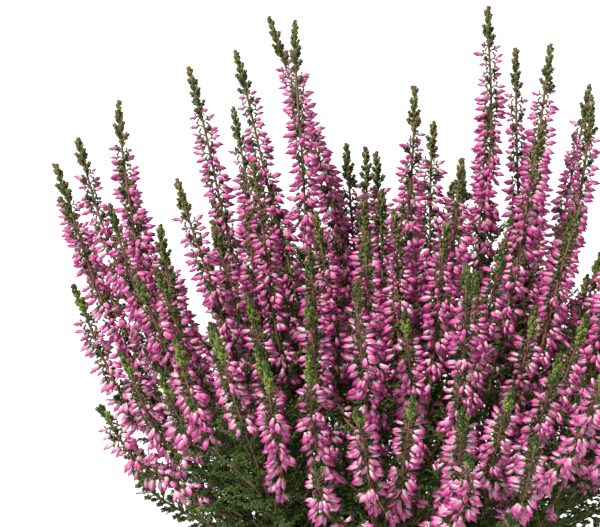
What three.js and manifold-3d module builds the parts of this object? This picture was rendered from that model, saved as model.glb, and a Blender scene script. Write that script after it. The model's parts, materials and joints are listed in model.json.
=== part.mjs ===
// A potted heather: a plain tapered plastic pot, the peat in it, and the bushy plant, whose woody stems
// stand in plain holes in the peat. A flower spray is a leading stem with a few side stems, and each of
// them ends in a spike of buds with a leafy tip. Short leafy shoots fill in low around the edge.
// Millimetres, +Z up, +Y away from the front, origin at the centre of the pot's flat foot.
import * as THREE from "three";
import { mergeVertices } from "three/addons/utils/BufferGeometryUtils.js";
import Module from "manifold-3d";

const wasm = await Module();
wasm.setup();

// ---------------------------------------------------------------- driving dimensions
const POT = { height: 100, rimRadius: 65, footRadius: 46, wall: 1.6, floor: 2.2, facets: 32 };
const RIM_BAND = { depth: 9, proud: 2.2 };
const DRAIN = { count: 8, radius: 4.5, circle: 33, sides: 6 };
const PEAT = { top: 88, clearance: 0.4, unevenness: 1.3 };

// The stems fan out from their feet in the peat. A stem keeps its own place in the pattern of the crown,
// and at each height the whole pattern is the share of its full width that the fan gives.
const FAN = { root: 76, top: 300, least: 0.05, power: 0.5 };
const FOOT = 80;
const STRAIGHT_TO = 92; // a stem is straight up to here, so that it stands freely in its hole
const HOLE_CLEARANCE = 0.35;
const BOW = 3; // how far a stem bends aside between its foot and its tip

const STEM = { footRadius: 1.1, spikeRadius: 1.3, topRadius: 1.0, tipRadius: 1.6 };
const BLOOM = { footShare: 0.38, band: 20, reach: 7.2, topReach: 4.4, low: 0.1, high: 0.45 };
const LEAF = { reach: 4.2, low: 0.6, high: 0.95 };
const LEAFY_TIP = { length: 15, band: 6, reach: 2.8, low: 0.6, high: 1.1 };
const NEIGHBOUR_GAP = 1.1; // half the air left between the buds of two neighbouring stems

// The tips of the stems that make the outline: across, depth and height, and for some how far the
// stem sways across on the way up. First the front and the left.
const OUTLINE_TIPS = [
  [33, 30, 298, 6], [-38, 0, 297, -5], [-48, 24, 295, 21], [54, 10, 287], [44, 55, 279, 8],
  [-61, 42, 280, 8], [-77, 15, 278], [5, -5, 274], [71, 20, 266], [-102, 12, 266, -9], [50, -20, 264],
  [14, 50, 252], [-119, 30, 249], [-20, 30, 247], [-125, -2, 245], [-53, -20, 249], [23, 5, 243],
  [-79, -42, 247, 6], [-6, 17, 232], [-86, -20, 226, -9], [-14, -50, 230], [35, -45, 227],
  [-94, -50, 214], [-118, -22, 205],
  [-55, -57, 210], [-33, -76, 213], [0, -72, 207], [64, -60, 203], [-79, -76, 199], [-48, -91, 193],
  [35, -91, 184], [1, -101, 184], [-18, -106, 181], [19, -82, 175], [20, -108, 165], [-31, -108, 163],
  [-107, -38, 164], [52, -82, 194], [62, -34, 235], [-12, 62, 240],
  // the right
  [90, -2, 271], [104, 26, 263], [121, 6, 250], [112, -24, 240], [94, -48, 228], [120, -50, 207],
  [90, -78, 196],
  // the back
  [-62, 96, 250], [-26, 104, 230], [38, 102, 250], [74, 76, 262], [-106, 74, 232], [8, 132, 218],
  [-60, 128, 220], [62, 124, 228], [110, 64, 242], [-128, 66, 220],
  // and one low at the left
  [-105, -10, 232],
];
// The other tips are filled in by rule, under a lower dome.
const CROWN = { radius: 158, middleHeight: 240, edgeHeight: 176, scatter: 14, candidates: 400 };
const STEM_GAP = 20.5; // the least distance between two stems in the crown's pattern
const SPRAY_GAP = 31; // and between two leading stems, so that a stem nearer than this is a side stem
const SIDE_FORK = 0.42;
const SIDE_BEND = 30; // the height over which a side stem leaves its leader

// Leafy shoots stand just inside the rim and lean out over it.
const LEAFY_SHOOTS = { count: 14, footPlace: 146, tipPlace: 182, fork: 100, tip: 126, spread: 16 };
const LEAVES_FROM = 105; // clear of the rim, on every stem

const COLOURS = {
  pot: { color: 0x8a4a33, roughness: 0.55, metalness: 0 },
  peat: { color: 0x2e2119, roughness: 0.95, metalness: 0 },
  flower: { color: 0xc4508f, roughness: 0.6, metalness: 0 },
  leaf: { color: 0x3f5a2c, roughness: 0.7, metalness: 0 },
};

// ---------------------------------------------------------------- small helpers
const TURN = 2 * Math.PI;
const GOLDEN_ANGLE = TURN * (1 - 1 / ((1 + Math.sqrt(5)) / 2));
const mix = (a, b, t) => a + (b - a) * t;
const smooth = (t) => {
  const s = Math.min(1, Math.max(0, t));
  return s * s * (3 - 2 * s);
};

// A seeded draw: the same number from 0 to 1 for the same item and kind, whatever was drawn before.
function draw(item, kind) {
  const wave = Math.sin(item * 12.9898 + kind * 78.233) * 43758.5453;
  return wave - Math.floor(wave);
}

function toSolid(geometry) {
  const bare = geometry.clone();
  bare.deleteAttribute("normal");
  bare.deleteAttribute("uv");
  const merged = mergeVertices(bare, 1e-4);
  const vertProperties = merged.attributes.position.array;
  const triVerts = new Uint32Array(merged.index.array);
  return new wasm.Manifold(new wasm.Mesh({ numProp: 3, vertProperties, triVerts }));
}

function toGeometry(solid) {
  const { vertProperties, triVerts } = solid.getMesh();
  return new THREE.BufferGeometry()
    .setAttribute("position", new THREE.BufferAttribute(vertProperties, 3))
    .setIndex(new THREE.BufferAttribute(triVerts, 1));
}

function named(name, solid, finish) {
  const mesh = new THREE.Mesh(toGeometry(solid), new THREE.MeshStandardMaterial(finish));
  mesh.name = name;
  return mesh;
}

// A closed skin of rings of points around a line, with pyramids raised on some of its facets.
class Skin {
  points = [];
  faces = [];

  point(p) {
    this.points.push(p.x, p.y, p.z);
    return this.points.length / 3 - 1;
  }

  ring(frame, radius, sides, turn = 0) {
    return Array.from({ length: sides }, (_, i) => {
      const angle = turn + (TURN * i) / sides;
      return this.point(frame.out(angle, radius));
    });
  }

  // Flat walls between two rings that are turned alike.
  prism(low, high) {
    low.forEach((_, i) => {
      const j = (i + 1) % low.length;
      this.faces.push([low[i], low[j], high[j]], [low[i], high[j], high[i]]);
    });
  }

  // Facets between two rings turned half a side apart, each raised to a point where tipOf gives one.
  band(low, high, tipOf) {
    const half = Math.PI / low.length;
    low.forEach((_, i) => {
      const j = (i + 1) % low.length;
      this.raise([low[i], low[j], high[i]], tipOf((2 * i + 1) * half, false));
      this.raise([low[j], high[j], high[i]], tipOf((2 * i + 2) * half, true));
    });
  }

  raise([a, b, c], tip) {
    if (!tip) {
      this.faces.push([a, b, c]);
      return;
    }
    const p = this.point(tip);
    this.faces.push([a, b, p], [b, c, p], [c, a, p]);
  }

  floor(ring) {
    for (let i = 2; i < ring.length; i++) this.faces.push([ring[0], ring[i], ring[i - 1]]);
  }

  roof(ring) {
    for (let i = 2; i < ring.length; i++) this.faces.push([ring[0], ring[i - 1], ring[i]]);
  }

  peak(ring, tip) {
    const p = this.point(tip);
    ring.forEach((a, i) => this.faces.push([a, ring[(i + 1) % ring.length], p]));
  }

  solid() {
    const geometry = new THREE.BufferGeometry();
    geometry.setAttribute("position", new THREE.Float32BufferAttribute(this.points, 3));
    geometry.setIndex(this.faces.flat());
    return toSolid(geometry);
  }
}

// A place on a line with the two directions square to it, the first as near +X as it can be.
class Frame {
  constructor(centre, along) {
    this.centre = centre;
    this.along = along.clone().normalize();
    this.across = new THREE.Vector3(0, 1, 0).cross(this.along).normalize();
    this.over = this.along.clone().cross(this.across);
  }

  direction(angle) {
    return this.across.clone().multiplyScalar(Math.cos(angle)).addScaledVector(this.over, Math.sin(angle));
  }

  out(angle, radius) {
    return this.centre.clone().addScaledVector(this.direction(angle), radius);
  }
}

// ---------------------------------------------------------------- pot and peat
function outerRadius(z) {
  return mix(POT.footRadius, POT.rimRadius - RIM_BAND.proud, z / POT.height);
}

const innerRadius = (z) => outerRadius(z) - POT.wall;

function lathe(profile) {
  const points = profile.map(([radius, z]) => new THREE.Vector2(radius, z));
  // A lathe turns about Y, so the solid is tipped to stand along Z.
  return new THREE.LatheGeometry(points, POT.facets).rotateX(Math.PI / 2);
}

function potSolid() {
  const bandFoot = POT.height - RIM_BAND.depth;
  const bevel = 1.5;
  const shell = lathe([
    [0, 0],
    [POT.footRadius - bevel, 0],
    [outerRadius(bevel), bevel],
    [outerRadius(bandFoot), bandFoot],
    [outerRadius(bandFoot) + RIM_BAND.proud, bandFoot + 1],
    [POT.rimRadius, POT.height],
    [innerRadius(POT.height), POT.height],
    [innerRadius(POT.floor), POT.floor],
    [0, POT.floor],
  ]);
  const hole = new THREE.CylinderGeometry(DRAIN.radius, DRAIN.radius, 4 * POT.floor, DRAIN.sides);
  hole.rotateX(Math.PI / 2);
  let pot = toSolid(shell);
  for (let i = 0; i < DRAIN.count; i++) {
    const angle = (TURN * (i + 0.5)) / DRAIN.count;
    const drain = hole.clone().rotateZ(angle);
    drain.translate(DRAIN.circle * Math.cos(angle), DRAIN.circle * Math.sin(angle), 0);
    pot = pot.subtract(toSolid(drain));
  }
  return pot;
}

function peatSolid(standing) {
  const low = POT.floor + PEAT.clearance;
  const radiusAt = (z) => innerRadius(z) - PEAT.clearance;
  const geometry = lathe([
    [0, low],
    [radiusAt(low), low],
    [radiusAt(PEAT.top), PEAT.top],
    [50, PEAT.top],
    [0, PEAT.top],
  ]);
  const place = geometry.attributes.position;
  for (let i = 0; i < place.count; i++) {
    const [x, y, z] = [place.getX(i), place.getY(i), place.getZ(i)];
    if (z > PEAT.top - 1) place.setZ(i, z + PEAT.unevenness * Math.sin(0.31 * x + 1) * Math.cos(0.27 * y));
  }
  return standing.reduce((peat, stem) => peat.subtract(holeSolid(stem)), toSolid(geometry));
}

// The plain hole that a stem stands in.
function holeSolid(stem) {
  const skin = new Skin();
  const frames = [FOOT, STRAIGHT_TO].map((z) => frameAt(stem, z));
  frames[0].centre.addScaledVector(frames[0].along, -HOLE_CLEARANCE);
  const radius = STEM.footRadius + 2 * HOLE_CLEARANCE;
  const [floor, mouth] = frames.map((frame) => skin.ring(frame, radius, STEM_SIDES, stemTurn(stem)));
  skin.floor(floor);
  skin.prism(floor, mouth);
  skin.roof(mouth);
  return skin.solid();
}

// ---------------------------------------------------------------- where every stem goes
const fan = (z) => mix(FAN.least, 1, ((z - FAN.root) / (FAN.top - FAN.root)) ** FAN.power);

const apart = (a, b) => Math.hypot(a.u - b.u, a.v - b.v);
const room = (spot, others) => Math.min(...others.map((other) => apart(spot, other)));
const polar = (radius, angle) => ({ u: radius * Math.cos(angle), v: radius * Math.sin(angle) });

// The places of all the flowering stems: those listed, then golden-angle places clear of the ones before.
function floweringStems() {
  const stems = OUTLINE_TIPS.map(([x, y, z, sway], item) => {
    return { item, u: x / fan(z), v: y / fan(z), tip: z, sway };
  });
  for (let i = 0; i < CROWN.candidates; i++) {
    const share = Math.sqrt((i + 0.5) / CROWN.candidates);
    const spot = polar(CROWN.radius * share, i * GOLDEN_ANGLE);
    const scatter = CROWN.scatter * (2 * draw(i, 1) - 1);
    const tip = mix(CROWN.middleHeight, CROWN.edgeHeight, share * share) + scatter;
    if (room(spot, stems) > STEM_GAP) stems.push({ item: stems.length, ...spot, tip });
  }
  return stems;
}

// From the tallest down, a stem with enough room leads a spray, and another is a side stem of the nearest.
function gatherSprays(stems) {
  const leaders = [];
  const byHeight = [...stems].sort((a, b) => b.tip - a.tip);
  for (const stem of byHeight) {
    const inside = Math.hypot(stem.u, stem.v) < CROWN.radius;
    if (inside && room(stem, leaders) > SPRAY_GAP) {
      leaders.push(Object.assign(stem, { sides: [] }));
      continue;
    }
    stem.from = leaders.reduce((a, b) => (apart(stem, b) < apart(stem, a) ? b : a));
    stem.fork = mix(FOOT, stem.tip, SIDE_FORK);
    stem.from.sides.push(stem);
  }
  return leaders;
}

// Leafy shoots without flowers, each in the part of the edge where the stems leave it the most room.
function leafyShoots(stems, leaders) {
  const { count, footPlace, tipPlace, tip, spread, fork } = LEAFY_SHOOTS;
  return Array.from({ length: count }, (_, k) => {
    const angles = Array.from({ length: 9 }, (_, i) => (TURN * (k + 0.2 + 0.075 * i)) / count);
    const roomAt = (angle) =>
      Math.min(room(polar(footPlace, angle), leaders), room(polar(tipPlace, angle), stems));
    const best = angles.reduce((a, b) => (roomAt(b) > roomAt(a) ? b : a));
    const height = tip + spread * draw(k, 2);
    const item = stems.length + k;
    const from = { item, ...polar(footPlace, best), tip: height };
    return { item, ...polar(tipPlace, best), tip: height, from, fork, leafy: true, sides: [] };
  });
}

// The line that a stem keeps to: its place in the fan, with a slight bow, waver and sway of its own.
function line(stem, z) {
  const rise = (z - FOOT) / (stem.tip - FOOT);
  const side = Math.sin(Math.PI * rise);
  const sway = (stem.sway ?? 0) * side * smooth(2 * rise);
  const [bowed, wave] = [TURN * draw(stem.item, 4), 0.08 * z + stem.item];
  const x = stem.u * fan(z) + BOW * side * Math.cos(bowed) + 0.5 * Math.sin(wave) + sway;
  const y = stem.v * fan(z) + BOW * side * Math.sin(bowed) + 0.5 * Math.cos(wave);
  return new THREE.Vector3(x, y, z);
}

// The middle of a stem at a height. A side stem follows its leader up to the fork.
function axis(stem, z) {
  if (!stem.from) return line(stem, z);
  return line(stem.from, z).lerp(line(stem, z), smooth((z - stem.fork) / SIDE_BEND));
}

function frameAt(stem, z) {
  return new Frame(axis(stem, z), axis(stem, z + 0.5).sub(axis(stem, z - 0.5)));
}

// Stems are three-sided, and each is turned its own way about its middle.
const STEM_SIDES = 3;
const HALF_SIDE = Math.PI / STEM_SIDES;
const stemTurn = (stem) => TURN * draw(stem.item, 3);

const leaderOf = (stem) => (stem.sides ? stem : stem.from);
const startOf = (stem) => (stem.sides ? FOOT : stem.fork);

// How far a bud may reach in a direction before it is halfway to a neighbouring stem.
function roomFor(stem, frame, angle, others) {
  const { centre, along } = frame;
  const way = frame.direction(angle);
  let room = Infinity;
  for (const other of others) {
    const start = startOf(other) + (leaderOf(other) === leaderOf(stem) ? 6 : 0);
    if (other === stem || centre.z < start || centre.z > other.tip + 6) continue;
    // The neighbour is met square to this stem, which on a leaning stem is at another height.
    const rise = -axis(other, centre.z).sub(centre).dot(along) * along.z;
    const gap = axis(other, Math.max(FOOT, centre.z + rise)).sub(centre);
    const towards = gap.dot(way);
    if (towards > 0) room = Math.min(room, gap.lengthSq() / 2 / towards - NEIGHBOUR_GAP);
  }
  return room;
}

// ---------------------------------------------------------------- stems with their buds and leaves
// The rings of a stem from its foot or fork up. Those with teeth carry a band of buds or leaves, one on
// each of the six facets up to the next ring: three that are wide below and three that are wide above.
function ringsOf(stem) {
  const start = startOf(stem);
  const slope = frameAt(stem, stem.tip - 10).along.z; // a leaning stem is longer than it is high
  const tipFoot = stem.tip - LEAFY_TIP.length * slope;
  const flowersFrom = Math.max(mix(FOOT, stem.tip, BLOOM.footShare), start + 12);
  const bloomFoot = stem.leafy ? LEAVES_FROM : flowersFrom;
  const bands = Math.max(3, Math.round((tipFoot - bloomFoot) / BLOOM.band));
  const rings = [{ z: start, radius: STEM.footRadius }];
  if (stem.sides) rings.push({ z: STRAIGHT_TO, radius: STEM.footRadius });
  if (stem.sides && !stem.leafy) {
    rings.push({ z: LEAVES_FROM, radius: STEM.footRadius, teeth: LEAF });
    rings.push({ z: mix(LEAVES_FROM, bloomFoot, 0.5), radius: STEM.footRadius, teeth: LEAF });
  }
  for (let k = 0; k < bands; k++) {
    const share = k / bands;
    const reach = mix(BLOOM.reach, BLOOM.topReach, share ** 2);
    const teeth = stem.leafy ? LEAF : { low: BLOOM.low, high: BLOOM.high, reach };
    const radius = mix(STEM.spikeRadius, STEM.topRadius, share);
    rings.push({ z: mix(bloomFoot, tipFoot, share), radius, teeth });
  }
  rings.push({ z: tipFoot, radius: STEM.topRadius, teeth: LEAFY_TIP });
  rings.push({ z: tipFoot + LEAFY_TIP.band * slope, radius: STEM.tipRadius });
  return rings;
}

function stemSolid(stem, stems) {
  const skin = new Skin();
  const rings = ringsOf(stem);
  let turn = stemTurn(stem);
  let corners = skin.ring(frameAt(stem, rings[0].z), rings[0].radius, STEM_SIDES, turn);
  skin.floor(corners);
  for (let i = 1; i < rings.length; i++) {
    const { z, radius, teeth } = rings[i - 1];
    const from = turn;
    if (teeth) turn += HALF_SIDE;
    const next = skin.ring(frameAt(stem, rings[i].z), rings[i].radius, STEM_SIDES, turn);
    const toothTip = (angle, upper) => {
      const frame = frameAt(stem, mix(z, rings[i].z, upper ? teeth.high : teeth.low));
      const reach = Math.min(teeth.reach, roomFor(stem, frame, from + angle, stems));
      return reach > radius + 1 ? frame.out(from + angle, reach) : null;
    };
    if (teeth) skin.band(corners, next, toothTip);
    else skin.prism(corners, next);
    corners = next;
  }
  skin.peak(corners, axis(stem, stem.tip));
  return skin.solid();
}

// A leading stem fused with its side stems. A pocket closed in between their buds is filled.
function spraySolid(leader, stems) {
  const parts = [leader, ...leader.sides].map((stem) => stemSolid(stem, stems));
  const fused = parts.reduce((all, part) => all.add(part));
  const skins = fused.decompose().filter((part) => part.volume() > 0);
  return skins.reduce((all, part) => all.add(part));
}

// ---------------------------------------------------------------- assembly
const flowering = floweringStems();
const sprays = gatherSprays(flowering);
const shoots = leafyShoots(flowering, sprays);
const stems = [...flowering, ...shoots];

const heather = new THREE.Group();
heather.add(named("pot", potSolid(), COLOURS.pot));
heather.add(named("peat", peatSolid([...sprays, ...shoots]), COLOURS.peat));
sprays.forEach((leader, i) => {
  const name = `flower_spray_${String(i + 1).padStart(2, "0")}`;
  heather.add(named(name, spraySolid(leader, stems), COLOURS.flower));
});
shoots.forEach((shoot, i) => {
  heather.add(named(`leafy_shoot_${i + 1}`, spraySolid(shoot, stems), COLOURS.leaf));
});

export default heather;
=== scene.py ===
"""A potted heather in bud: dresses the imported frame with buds, leaves, bark, peat and a plastic pot.

Every spray and every leafy shoot of the frame gets one finer piece that follows the same stems. A piece is
gathered from a few small shapes, which numpy sets along its stems as whole arrays. Metres, +Z up.
"""

import json
import math
from dataclasses import dataclass

import bpy
import numpy as np
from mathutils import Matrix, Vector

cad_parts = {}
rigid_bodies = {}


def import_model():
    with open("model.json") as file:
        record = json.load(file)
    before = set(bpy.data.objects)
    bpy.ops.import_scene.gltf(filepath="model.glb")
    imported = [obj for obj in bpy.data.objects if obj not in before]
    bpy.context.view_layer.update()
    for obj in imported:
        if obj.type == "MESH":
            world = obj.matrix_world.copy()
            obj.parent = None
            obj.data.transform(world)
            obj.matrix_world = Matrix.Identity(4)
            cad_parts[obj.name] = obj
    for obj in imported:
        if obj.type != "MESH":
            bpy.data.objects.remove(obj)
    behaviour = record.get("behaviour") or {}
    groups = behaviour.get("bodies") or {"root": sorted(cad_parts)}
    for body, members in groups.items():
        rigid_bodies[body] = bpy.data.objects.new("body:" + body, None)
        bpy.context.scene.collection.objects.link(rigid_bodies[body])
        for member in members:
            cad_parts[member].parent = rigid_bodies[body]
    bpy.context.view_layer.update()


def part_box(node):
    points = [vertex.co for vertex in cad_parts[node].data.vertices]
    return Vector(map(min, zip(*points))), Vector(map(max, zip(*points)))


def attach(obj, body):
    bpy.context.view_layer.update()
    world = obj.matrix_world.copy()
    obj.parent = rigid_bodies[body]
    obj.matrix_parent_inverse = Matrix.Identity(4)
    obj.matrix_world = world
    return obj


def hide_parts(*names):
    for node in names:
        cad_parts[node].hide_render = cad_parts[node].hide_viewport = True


bl_info = {
    "name": "Potted Heather",
    "version": (1, 0, 0),
    "blender": (4, 5, 0),
    "location": "3D Viewport > Sidebar > Heather",
    "description": "Builds a potted heather in bud, piece by piece, on its packed frame",
    "category": "Add Mesh",
}

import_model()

MM = 0.001
TURN = 2 * math.pi
GOLDEN_ANGLE = TURN * (1 - 1 / ((1 + math.sqrt(5)) / 2))
UP = np.array([0.0, 0.0, 1.0])
SEED = 4127

# ------------------------------------------------------------------ the stems, as the frame has them
# The crown widens from its root to its top, as a power of the height above the root.
FAN_ROOT, FAN_TOP, FAN_LEAST, FAN_POWER = 76 * MM, 300 * MM, 0.05, 0.5
FOOT = 80 * MM
BOW = 3 * MM
WAVER, WAVES = 0.5 * MM, 80.0
SIDE_FORK, SIDE_BEND = 0.42, 30 * MM
STEM_GAP, SPRAY_GAP = 20.5 * MM, 31 * MM
CROWN_RADIUS, CROWN_MIDDLE, CROWN_EDGE = 158 * MM, 240 * MM, 176 * MM
CROWN_SCATTER, CROWN_CANDIDATES = 14 * MM, 400
SHOOTS, SHOOT_FOOT, SHOOT_TIP, SHOOT_FORK = 14, 146 * MM, 182 * MM, 100 * MM
SHOOT_HEIGHT, SHOOT_SPREAD = 126 * MM, 16 * MM
SHOOT_FIRST, SHOOT_STEP, SHOOT_TRIES = 0.2, 0.075, 9
SCATTER_DRAW, SHOOT_DRAW, BOW_DRAW = 1, 2, 4
# Flowers start at a share of a stem's height, and higher inside the crown and over one leafy patch. A
# zone is a height or a distance, and how far the change at it reaches.
BLOOM_SHARE, INNER_BARE, PATCH_BARE, LEAST_BARE = 0.38, 0.09, 0.26, 12 * MM
BARE_ZONE, PATCH, PATCH_ZONE = (50 * MM, 50 * MM), (-100 * MM, -90 * MM), (25 * MM, 35 * MM)
LEAVES_FROM = 99 * MM

# The tips of the stems that make the outline, in millimetres: across, depth and height, and for some
# how far the stem sways across on the way up.
OUTLINE_TIPS = [
    (33, 30, 298, 6), (-38, 0, 297, -5), (-48, 24, 295, 21), (54, 10, 287), (44, 55, 279, 8),
    (-61, 42, 280, 8), (-77, 15, 278), (5, -5, 274), (71, 20, 266), (-102, 12, 266, -9), (50, -20, 264),
    (14, 50, 252), (-119, 30, 249), (-20, 30, 247), (-125, -2, 245), (-53, -20, 249), (23, 5, 243),
    (-79, -42, 247, 6), (-6, 17, 232), (-86, -20, 226, -9), (-14, -50, 230), (35, -45, 227),
    (-94, -50, 214), (-118, -22, 205),
    (-55, -57, 210), (-33, -76, 213), (0, -72, 207), (64, -60, 203), (-79, -76, 199), (-48, -91, 193),
    (35, -91, 184), (1, -101, 184), (-18, -106, 181), (19, -82, 175), (20, -108, 165), (-31, -108, 163),
    (-107, -38, 164), (52, -82, 194), (62, -34, 235), (-12, 62, 240),
    # the right
    (90, -2, 271), (104, 26, 263), (121, 6, 250), (112, -24, 240), (94, -48, 228), (120, -50, 207),
    (90, -78, 196),
    # the back
    (-62, 96, 250), (-26, 104, 230), (38, 102, 250), (74, 76, 262), (-106, 74, 232), (8, 132, 218),
    (-60, 128, 220), (62, 124, 228), (110, 64, 242), (-128, 66, 220),
    # and one low at the left
    (-105, -10, 232),
]


@dataclass
class Stem:
    """A stem: its place u, v in the crown's pattern, the height of its tip, how far it sways across,
    and the stem and the height that it forks from. Only one that leads a spray has a list of sides."""

    item: int
    u: float
    v: float
    tip: float
    sway: float = 0.0
    parent: "Stem" = None
    fork: float = 0.0
    sides: list = None
    leafy: bool = False

    @property
    def start(self):
        """The height where its own bark starts."""
        return self.fork if self.sides is None else FOOT

    @property
    def from_middle(self):
        """How far the stem keeps from the middle of the pattern."""
        return math.hypot(self.u, self.v)


def mix(a, b, share):
    """From a to b as share goes from 0 to 1."""
    return a + (b - a) * share


def smooth(share):
    """An even start and an even stop between 0 and 1: 3 s^2 - 2 s^3."""
    s = np.clip(share, 0, 1)
    return s * s * (3 - 2 * s)


def above(value, start, fade):
    """0 up to the start and 1 from start + fade on, with a smooth change between them."""
    return smooth((value - start) / fade)


def below(value, end, fade):
    """1 up to end - fade and 0 from the end on, with a smooth change between them."""
    return smooth((end - value) / fade)


def draw(item, kind):
    """The same number from 0 to 1 for the same item and kind: the fraction of a steep sine."""
    wave = math.sin(item * 12.9898 + kind * 78.233) * 43758.5453
    return wave - math.floor(wave)


def fan(z):
    """The share of the crown's full width at a height: a root of the height above the fan's foot."""
    return mix(FAN_LEAST, 1, ((z - FAN_ROOT) / (FAN_TOP - FAN_ROOT)) ** FAN_POWER)


def polar(radius, angle):
    return radius * math.cos(angle), radius * math.sin(angle)


def apart(a, b):
    return math.hypot(a.u - b.u, a.v - b.v)


def room(u, v, stems):
    """The distance from a place in the pattern to the nearest of the stems."""
    return min((math.hypot(u - s.u, v - s.v) for s in stems), default=math.inf)


def flowering_stems():
    """The stems of the outline, then golden-angle places that are clear of the ones before."""
    stems = []
    for item, (x, y, z, *sway) in enumerate(OUTLINE_TIPS):
        tip = z * MM
        stems.append(Stem(item, x * MM / fan(tip), y * MM / fan(tip), tip, sum(sway) * MM))
    for i in range(CROWN_CANDIDATES):
        share = math.sqrt((i + 0.5) / CROWN_CANDIDATES)
        u, v = polar(CROWN_RADIUS * share, i * GOLDEN_ANGLE)
        tip = mix(CROWN_MIDDLE, CROWN_EDGE, share * share)
        tip += CROWN_SCATTER * (2 * draw(i, SCATTER_DRAW) - 1)
        if room(u, v, stems) > STEM_GAP:
            stems.append(Stem(len(stems), u, v, tip))
    return stems


def gather_sprays(stems):
    """From the tallest down, a stem with room leads a spray; any other is a side stem of the nearest."""
    leaders = []
    for stem in sorted(stems, key=lambda s: -s.tip):
        if stem.from_middle < CROWN_RADIUS and room(stem.u, stem.v, leaders) > SPRAY_GAP:
            stem.sides = []
            leaders.append(stem)
            continue
        stem.parent = min(leaders, key=lambda leader: apart(stem, leader))
        stem.fork = mix(FOOT, stem.tip, SIDE_FORK)
        stem.parent.sides.append(stem)
    return leaders


def leafy_shoots(stems, leaders):
    """Shoots without flowers around the edge. Each has its share of the turn, and stands at that one of
    a few angles in it where the stems leave it the most room."""
    shoots = []
    for k in range(SHOOTS):
        angles = [TURN * (k + SHOOT_FIRST + SHOOT_STEP * i) / SHOOTS for i in range(SHOOT_TRIES)]
        best = max(angles, key=lambda angle: min(
            room(*polar(SHOOT_FOOT, angle), leaders), room(*polar(SHOOT_TIP, angle), stems)))
        tip = SHOOT_HEIGHT + SHOOT_SPREAD * draw(k, SHOOT_DRAW)
        item = len(stems) + k
        foot = Stem(item, *polar(SHOOT_FOOT, best), tip)
        place = polar(SHOOT_TIP, best)
        shoots.append(Stem(item, *place, tip, parent=foot, fork=SHOOT_FORK, sides=[], leafy=True))
    return shoots


def line(stem, z):
    """Where a stem keeps to at heights z: its place times the fan, plus a bow, a waver and a sway."""
    rise = (z - FOOT) / (stem.tip - FOOT)
    side = np.sin(np.pi * rise)
    sway = stem.sway * side * smooth(2 * rise)
    bowed = TURN * draw(stem.item, BOW_DRAW)
    wave = WAVES * z + stem.item
    x = stem.u * fan(z) + BOW * side * math.cos(bowed) + WAVER * np.sin(wave) + sway
    y = stem.v * fan(z) + BOW * side * math.sin(bowed) + WAVER * np.cos(wave)
    return np.stack([x, y, z], axis=-1)


def axis(stem, z):
    """The middle of a stem at heights z. A side stem follows its parent up to the fork."""
    if stem.parent is None:
        return line(stem, z)
    share = above(z, stem.fork, SIDE_BEND)[:, None]
    return mix(line(stem.parent, z), line(stem, z), share)


def in_patch(stem):
    """How far a stem belongs to the one leafy patch low in the crown."""
    return 1 - above(math.dist((stem.u, stem.v), PATCH), *PATCH_ZONE)


def bloom_foot(stem):
    """The height where a stem's flowers start."""
    inner = 1 - above(stem.from_middle, *BARE_ZONE)
    share = BLOOM_SHARE + INNER_BARE * inner + PATCH_BARE * in_patch(stem)
    return max(mix(FOOT, stem.tip, share), stem.start + LEAST_BARE)


# ------------------------------------------------------------------ lines and small shapes
def unit(vectors):
    """The vectors at length one."""
    return vectors / np.linalg.norm(vectors, axis=-1, keepdims=True)


def square_axes(forward, hint):
    """Rows x, y, z for each forward: x = forward, y = hint cross x, z = x cross y."""
    x = unit(forward)
    y = unit(np.cross(hint, x))
    return np.stack([x, y, np.cross(x, y)], axis=-2)


def rolled(axes, angles):
    """The same axes turned by an angle about their first."""
    c, s = np.cos(angles)[:, None], np.sin(angles)[:, None]
    x, y, z = axes[:, 0], axes[:, 1], axes[:, 2]
    return np.stack([x, y * c + z * s, z * c - y * s], axis=-2)


class Path:
    """A stem's middle line, sampled closely, with its places found by the length along it."""

    def __init__(self, points):
        steps = np.linalg.norm(np.diff(points, axis=0), axis=1)
        self.points = points
        self.lengths = np.concatenate([[0.0], np.cumsum(steps)])
        self.headings = unit(np.gradient(points, axis=0))
        self.length = self.lengths[-1]

    def _read(self, columns, s):
        return np.stack([np.interp(s, self.lengths, columns[:, i]) for i in range(3)], axis=-1)

    def place(self, s):
        return self._read(self.points, s)

    def heading(self, s):
        return unit(self._read(self.headings, s))

    def outward(self, s, angles):
        """Directions square to the line: cos(angle) across + sin(angle) over, across nearest to +X."""
        along = self.heading(s)
        across = unit(np.cross([0.0, 1.0, 0.0], along))
        over = np.cross(along, across)
        return across * np.cos(angles)[..., None] + over * np.sin(angles)[..., None]

    def length_at(self, height):
        return float(np.interp(height, self.points[:, 2], self.lengths))


@dataclass
class Shape:
    """A small closed mesh, with along from 0 at its root to 1 at its end, and ridge on some places."""

    places: np.ndarray
    triangles: np.ndarray
    along: np.ndarray
    ridge: np.ndarray


def skin_triangles(rings, sides):
    """Triangles of a skin of rings around a line that ends in a point at both ends: the first point,
    then ring after ring, then the last point."""
    i = np.arange(sides)
    j = (i + 1) % sides
    root = np.stack([np.zeros(sides, int), 1 + j, 1 + i], axis=1)
    low = 1 + sides * np.arange(rings - 1)[:, None]
    a, b, c, d = low + i, low + j, low + sides + j, low + sides + i
    walls = np.concatenate([np.stack([a, b, c], -1), np.stack([a, c, d], -1)]).reshape(-1, 3)
    last = 1 + sides * (rings - 1)
    end = np.stack([last + i, last + j, np.full(sides, last + sides)], axis=1)
    return np.concatenate([root, walls, end])


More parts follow.
